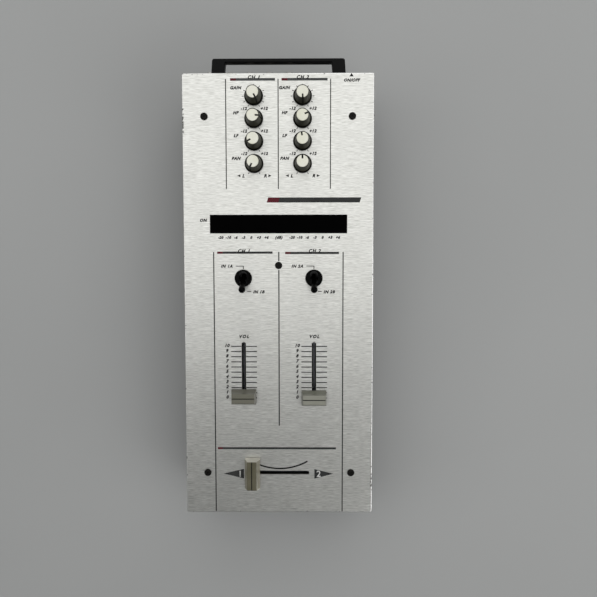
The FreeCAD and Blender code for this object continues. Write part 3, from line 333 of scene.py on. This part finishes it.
def ended_bar(ink, left, split, right, low, high, lean=0.0):
    """A bar that is red from its left end to the split, and in the given ink from there."""
    stripe(red, left, low, split, high, lean)
    stripe(ink, split, low, right, high, lean)


for left, right in ((-37.7, -2.4), (2.75, 38.9)):
    ended_bar(bars, left, left + 4.6, right, 170.9, 172.9)
for left, right, low in ((-49.2, -4.8, 35.4), (5.2, 48.3, 35.1)):
    ended_bar(sections, left, left + 4.4, right, low, low + 1.75)
ended_bar(sections, -9.4, -0.2, 64.6, 76.0, 80.0, lean=1.3)
ended_bar(sections, -50.2, -46.2, 46.4, -124.1, -122.4)
print_on_panel("channel_bars", bars, grey_ink)
print_on_panel("section_bars", sections, slate_ink)
print_on_panel("red_bar_ends", red, red_ink)

marks = bmesh.new()
slot_out = 28.4
toggle_out = 28.3
knob_out = 19.2
level_steps = range(11)
level_step = 4.22
lowest_tick = -81.5
tick_half = 0.38
for side in (-1, 1):
    slot_x = side * slot_out
    for step in level_steps:
        y = lowest_tick + level_step * step
        stripe(marks, slot_x - 10.2, y - tick_half, slot_x - 1.9, y + tick_half)
        stripe(marks, slot_x + 1.9, y - tick_half, slot_x + 10.6, y + tick_half)
    for edge in (slot_x - 1.75, slot_x + 1.5):
        stripe(marks, edge, -84.5, edge + 0.25, -36.3)
    toggle_x = side * toggle_out
    stripe(marks, toggle_x - 6.0, 25.2, toggle_x + 0.3, 25.8)
    stripe(marks, toggle_x - 0.3, 23.2, toggle_x + 0.3, 25.2)
    stripe(marks, toggle_x + 3.0, 4.9, toggle_x + 6.2, 5.5)
gain_y = 159.0
dial_end = 150
dial_tick = [Vector(c) for c in ((-0.27, 7.9, 0), (0.27, 7.9, 0), (0.27, 9.3, 0), (-0.27, 9.3, 0))]
for knob_x in (-knob_out, knob_out):
    for knob_y in (106.5, 124.0, 141.5, gain_y):
        angles = range(-dial_end, dial_end + 1, 30) if knob_y == gain_y else (-dial_end, dial_end)
        for angle in angles:
            turn = Matrix.Rotation(math.radians(-angle), 3, "Z")
            corners = [turn @ corner for corner in dial_tick]
            outline(marks, *[(knob_x + c.x, knob_y + c.y) for c in corners])
outline(marks, (56.0, 173.9), (59.3, 173.9), (57.65, 176.6))
print_on_panel("scale_marks", marks, black_ink)

arrows = bmesh.new()
outline(arrows, (-45.6, -144.45), (-28.9, -148.6), (-28.9, -140.5))
outline(arrows, (44.3, -144.45), (28.8, -140.6), (28.8, -148.6))
print_on_panel("fader_arrows", arrows, slate_ink)

smile = bmesh.new()
arc_middle = Vector((0.4, -95.15, 0.0)) * mm
arc_ends = [smile.verts.new(arc_middle + Vector((0.0, -reach * mm, 0.0))) for reach in (44.4, 45.6)]
arc_edge = smile.edges.new(arc_ends)
half_sweep = math.radians(30.3)
bmesh.ops.rotate(smile, verts=arc_ends, cent=arc_middle, matrix=Matrix.Rotation(-half_sweep, 3, "Z"))
bmesh.ops.spin(
    smile, geom=[arc_edge, *arc_ends], cent=arc_middle, axis=(0, 0, 1), angle=2 * half_sweep, steps=36
)
print_on_panel("fader_arc", smile, black_ink)

# Figures: plain numbers on the scales, and short marks that say what a control does.
# Printed in black in slanted capitals; the two in the arrows are upright and white.
capital_share = 0.72


def letters(ink, words, x, y, height, lean=0.28, weight=0.2, spread=1.16):
    """Words as flat shapes on the panel, centred on x and y, with capitals of that height in millimetres."""
    curve = bpy.data.curves.new("letters", "FONT")
    curve.body = words
    curve.size = height / capital_share
    curve.shear = lean
    curve.offset = weight
    curve.space_character = spread
    curve.align_x = "CENTER"
    curve.resolution_u = 3
    holder = bpy.data.objects.new("letters", curve)
    mesh = bpy.data.meshes.new_from_object(holder)
    mesh.transform(Matrix.Translation((x, y - height / 2, 0.0)))
    mesh.transform(Matrix.Scale(mm, 4))
    ink.from_mesh(mesh)
    bpy.data.objects.remove(holder)
    bpy.data.curves.remove(curve)
    bpy.data.meshes.remove(mesh)


figures = bmesh.new()
for slot_x in (-slot_out, slot_out):
    for step in level_steps:
        letters(figures, str(step), slot_x - 13.7, -80.7 + level_step * step, 2.5)
    letters(figures, "VOL", slot_x + 0.1, -31.2, 2.5, spread=1.4)
meter_y = 48.4
meter_step = 6.1
for middle in (-28.1, 28.9):
    for place, words in enumerate(("-20", "-10", "-6", "-3", "0", "+3", "+6"), -3):
        letters(figures, words, middle + meter_step * place, meter_y, 2.0)
letters(figures, "(dB)", 0.1, meter_y, 2.1)
pan_y = 97.1
for knob_x in (-knob_out, knob_out):
    for words, y in (("GAIN", 165.6), ("HF", 146.3), ("LF", 128.5), ("PAN", 110.8)):
        letters(figures, words, knob_x - 14.4, y, 2.3)
    for y in (149.6, 132.1, 114.5):
        letters(figures, "-12", knob_x - 8.0, y, 2.3)
        letters(figures, "+12", knob_x + 8.0, y, 2.3)
    letters(figures, "L", knob_x - 8.6, pan_y, 2.5)
    letters(figures, "R", knob_x + 8.8, pan_y, 2.5)
    outline(figures, (knob_x - 13.4, pan_y), (knob_x - 10.9, 96.0), (knob_x - 10.9, 98.2))
    outline(figures, (knob_x + 13.8, pan_y), (knob_x + 11.3, 98.2), (knob_x + 11.3, 96.0))
for channel, side in ((1, -1), (2, 1)):
    toggle_x = side * toggle_out
    letters(figures, f"CH {channel}", side * knob_out, 173.7, 2.6, spread=1.3)
    letters(figures, f"CH {channel}", toggle_x + 0.4, 37.7, 2.6, spread=1.3)
    letters(figures, f"IN {channel}A", toggle_x - 13.4, 25.5, 2.3, spread=1.2)
    letters(figures, f"IN {channel}B", toggle_x + 12.2, 4.9, 2.3, spread=1.2)
letters(figures, "ON", -60.2, 62.1, 2.3, spread=1.2)
letters(figures, "ON/OFF", 57.7, 171.2, 2.2)
print_on_panel("panel_figures", figures, black_ink)

arrow_figures = bmesh.new()
for words, x, y in (("1", -32.1, -144.5), ("2", 32.3, -144.4)):
    letters(arrow_figures, words, x, y, 5.2, lean=0.0, weight=0.12)
bmesh.ops.translate(arrow_figures, verts=arrow_figures.verts[:], vec=(0.0, 0.0, ink_thick))
print_on_panel("arrow_figures", arrow_figures, white_ink)

# Knobs: tapered caps pushed on the pot shafts, eight on the panel and two in front.
# Those on the panel are charcoal plastic with a cream disc let into the top, and a groove down disc and
# flank shows where each points; the two in front are black, with a white line in the groove.
knob_low, knob_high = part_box("balance_2_knob")
knob_middle = (knob_low + knob_high) / 2
row_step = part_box("bass_2_knob")[0].y - knob_low.y
waist_z = knob_low.z + 0.002
waist_radius = 0.0063
crown_radius = 0.00505
taper = (waist_radius - crown_radius) / (knob_high.z - waist_z)
charcoal, charcoal_shader, charcoal_shade = new_finish("charcoal", specular=0.1)
spot_x, spot_y, spot_z = charcoal_shade.parts()
across = abs(spot_x) - knob_middle.x
along = charcoal_shade.node(
    "ShaderNodeMath",
    {"operation": "WRAP"},
    {"Value": spot_y - knob_middle.y, "Value_001": row_step / 2, "Value_002": -row_step / 2},
)
radius = charcoal_shade.maths("SQRT", across * across + along * along)
flank = waist_radius - (spot_z - waist_z) * taper
# The skirt round each knob's foot is painted near black: painted shade where the knob meets the panel.
skirt_shade = radius.rises(waist_radius + 0.00002, waist_radius + 0.0002)
groove = (flank - radius).rises(0.00015, 0.0003)
crown = spot_z.rises(knob_high.z - 0.00012, knob_high.z - 0.00004)
fine_grain = charcoal_shade.noise(1300.0, 3.0)
dust = charcoal_shade.noise(160.0, 3.0)
charcoal_colour = charcoal_shade.mixed(
    (fine_grain * 0.5 + dust * 0.5).rises(0.3, 0.7), srgb(47, 46, 35), srgb(62, 61, 49)
)
charcoal_colour = charcoal_shade.mixed(skirt_shade, charcoal_colour, srgb(12, 12, 9))
charcoal_colour = charcoal_shade.mixed(crown, charcoal_colour, srgb(20, 20, 17))
charcoal_colour = charcoal_shade.mixed(groove, charcoal_colour, srgb(10, 10, 8))
coat(charcoal_shader, charcoal_shade, charcoal_colour, 0.34 + dust * 0.16, fine_grain, 0.00002)
cream = moulded("cream", (243, 242, 222), (252, 251, 238), 1100.0, 0.00001, 0.4)
dress(charcoal, *[f"{name}_knob" for name in knob_names])
dress(cream, *[f"{name}_insert" for name in knob_names])


def pointer_knob(name, node):
    """Black plastic with a white line from the middle of the knob's face down its groove."""
    low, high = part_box(node)
    middle = (low + high) / 2
    material, shader, shade = new_finish(name)
    x, _, z = shade.parts()
    line = abs(x - middle.x).falls(0.00045, 0.00055) * (z - middle.z).rises(0.0012, 0.0014)
    grain = shade.noise(1500.0, 3.0)
    rub = shade.noise(140.0, 3.0)
    colour = shade.mixed((grain * 0.5 + rub * 0.5).rises(0.3, 0.7), srgb(26, 26, 26), srgb(40, 40, 39))
    colour = shade.mixed(line, colour, srgb(206, 205, 199))
    coat(shader, shade, colour, 0.32 + rub * 0.16, grain, 0.00003)
    dress(material, node)


pointer_knob("phones_level_black", "phones_level_knob")
pointer_knob("curve_black", "curve_knob")

# Toggles: round collars round the input levers, and the levers with their paddle ends.
# Black moulded plastic.
toggle_black = moulded("toggle_black", (2, 2, 2), (7, 7, 7), 1600.0, 0.00001, 0.26, specular=0.04)
dress(toggle_black, "toggle_collars", "toggle_1_lever", "toggle_2_lever")

# Fader caps and cue slider: hollow caps pushed on the carriages' stems, and the small slider in front.
# Warm grey plastic with a little grime; each cap's crest, slopes and ends are coloured apart as painted
# light and shade, with a painted dark line along each cap's crest.


def cap_plastic(name, node, lengthways, slopes, ends, crest):
    """The plastic of one cap: painted light and shade on its slopes, its ends and its crest, some grime, and
    the black paint in the groove.
    """
    low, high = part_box(node)
    middle = (low + high) / 2
    material, shader, shade = new_finish(name, specular=0.2)
    x, y, z = shade.parts()
    from_x = abs(x - middle.x)
    from_y = abs(y - middle.y)
    from_line = from_x if lengthways else from_y
    to_end = high.y - middle.y - from_y if lengthways else high.x - middle.x - from_x
    painted = from_line.falls(0.00032, 0.00042) * z.rises(high.z - 0.0006, high.z - 0.0005)
    fine_grain = shade.noise(1200.0, 3.0)
    grime = shade.noise(110.0, 4.0)
    crest_shading_and_grime = z.rises(high.z - 0.0006, high.z - 0.0001) * 0.8 + grime.rises(0.3, 0.7) * 0.2
    # Slopes, ends and crest each get a colour of their own: painted light and shade on each face.
    colour = shade.mixed(to_end.rises(0.0009, 0.0011), srgb(*ends), srgb(*slopes))
    colour = shade.mixed(crest_shading_and_grime, colour, srgb(*crest))
    colour = shade.mixed(painted, colour, srgb(12, 12, 11))
    coat(shader, shade, colour, 0.26 + grime * 0.14, fine_grain, 0.000006)
    dress(material, node)


# Painted shade: the level caps' slopes and ends are darker than their lighter crests; the crossfader cap's
# ends are painted bright as a painted highlight.
cap_1_shaded_sides = (100, 99, 90)
cap_2_shaded_sides = (108, 109, 98)
cap_plastic("level_cap_1_grey", "level_fader_1_cap", False, cap_1_shaded_sides, cap_1_shaded_sides, (116, 115, 103))
cap_plastic("level_cap_2_grey", "level_fader_2_cap", False, cap_2_shaded_sides, cap_2_shaded_sides, (150, 150, 139))
cap_plastic("cross_cap_grey", "crossfader_cap", True, (140, 136, 120), (202, 199, 187), (94, 91, 74))
fader_grey = moulded("fader_grey", (112, 110, 98), (132, 130, 116), 1200.0, 0.00002, 0.45)
dress(fader_grey, "cue_slider")

# Dust lips: two strips of black felt under each slot, glued to the fader's frame.
# They close over the gap and part round the stem, so that dust stays out.
felt = moulded("felt", (5, 5, 4), (14, 14, 12), 2400.0, 0.0002, 0.9, specular=0.05)
lips = bmesh.new()
lip_size = Vector((51.0, 1.7, 0.7)) * mm
lip_out = 1.55 * mm
lip_z = plate_low.z - 0.75 * mm
level_slot_y = -60.4
slot_places = ((-slot_out, level_slot_y, True), (slot_out, level_slot_y, True), (0.0, -143.5, False))
quarter_turn = Matrix.Rotation(math.pi / 2, 3, "Z")
for x, y, turned in slot_places:
    for side in (-1, 1):
        strip = bmesh.ops.create_cube(lips, size=1.0)["verts"]
        bmesh.ops.scale(lips, verts=strip, vec=lip_size)
        bmesh.ops.translate(lips, verts=strip, vec=(0.0, lip_out * side, 0.0))
        if turned:
            bmesh.ops.rotate(lips, verts=strip, matrix=quarter_turn)
        bmesh.ops.translate(lips, verts=strip, vec=(x * mm, y * mm, lip_z))
bmesh.ops.bevel(
    lips, geom=lips.edges[:], offset=0.15 * mm, segments=2, profile=0.5, affect="EDGES", material=-1
)
make_piece("dust_lips", lips, felt, "case")

# Rear handle: a flat bow screwed to the rear wall, to lift the mixer out of its case.
# Cast metal under a satin black paint.
handle_black = moulded("handle_black", (2, 2, 2), (6, 6, 6), 1500.0, 0.00003, 0.42, specular=0.12)
dress(handle_black, "rear_handle")

# Floor, light and camera: a pale table under a large soft lamp, four smaller ones round it and an even sky.
# The camera looks almost straight down on the panel, as the photograph does.
table_shape = bmesh.new()
bmesh.ops.create_grid(table_shape, x_segments=2, y_segments=2, size=3.0)
table_mesh = bpy.data.meshes.new("table")
table_shape.to_mesh(table_mesh)
table_shape.free()
table = bpy.data.objects.new("table", table_mesh)
bpy.context.scene.collection.objects.link(table)
table_finish, table_shader, table_shade = new_finish("table_finish", specular=0.2)
table_tone = table_shade.noise(3.0, 3.0)
table_colour = table_shade.mixed(table_tone, srgb(170, 171, 170), srgb(180, 181, 180))
coat(table_shader, table_shade, table_colour, 0.8)
table_mesh.materials.append(table_finish)

sky = bpy.data.worlds.new("sky")
sky.use_nodes = True
sky_light = sky.node_tree.nodes["Background"].inputs
sky_light["Color"].default_value = (0.97, 0.99, 1.0, 1.0)
sky_light["Strength"].default_value = 0.12
bpy.context.scene.world = sky


def lamp(name, place, aim, width, depth, watts):
    light = bpy.data.lights.new(name, "AREA")
    light.shape = "RECTANGLE"
    light.size = width
    light.size_y = depth
    light.energy = watts
    holder = bpy.data.objects.new(name, light)
    holder.location = place
    holder.rotation_euler = (Vector(aim) - Vector(place)).to_track_quat("-Z", "Y").to_euler()
    bpy.context.scene.collection.objects.link(holder)


mixer = (0.0, 0.0, 0.07)
lamp("top_lamp", (0.0, 0.92, 1.57), (0.0, 0.92, 0.0), 2.4, 2.34, 17.2)
lamp("left_lamp", (-1.25, 0.0, 0.9), mixer, 1.2, 1.0, 3.0)
lamp("right_lamp", (1.2, -0.45, 0.9), mixer, 1.1, 1.1, 5.4)
lamp("front_lamp", (0.9, -1.4, 1.2), mixer, 1.4, 1.3, 5.0)
lamp("rear_lamp", (0.15, 1.7, 0.8), mixer, 2.4, 1.1, 7.0)

camera_height = 0.4796
camera_angles = (-3.82, 0.51, -0.02)
camera_data = bpy.data.cameras.new("camera")
camera_data.sensor_width = 36.0
camera_data.lens = 36.06
camera_data.clip_start = 0.01
camera = bpy.data.objects.new("camera", camera_data)
camera.location = (0.0202, 0.0315, panel_top + camera_height)
camera.rotation_mode = "YXZ"
camera.rotation_euler = [math.radians(angle) for angle in camera_angles]
bpy.context.scene.collection.objects.link(camera)
bpy.context.scene.camera = camera
bpy.context.scene.view_settings.view_transform = "Standard"
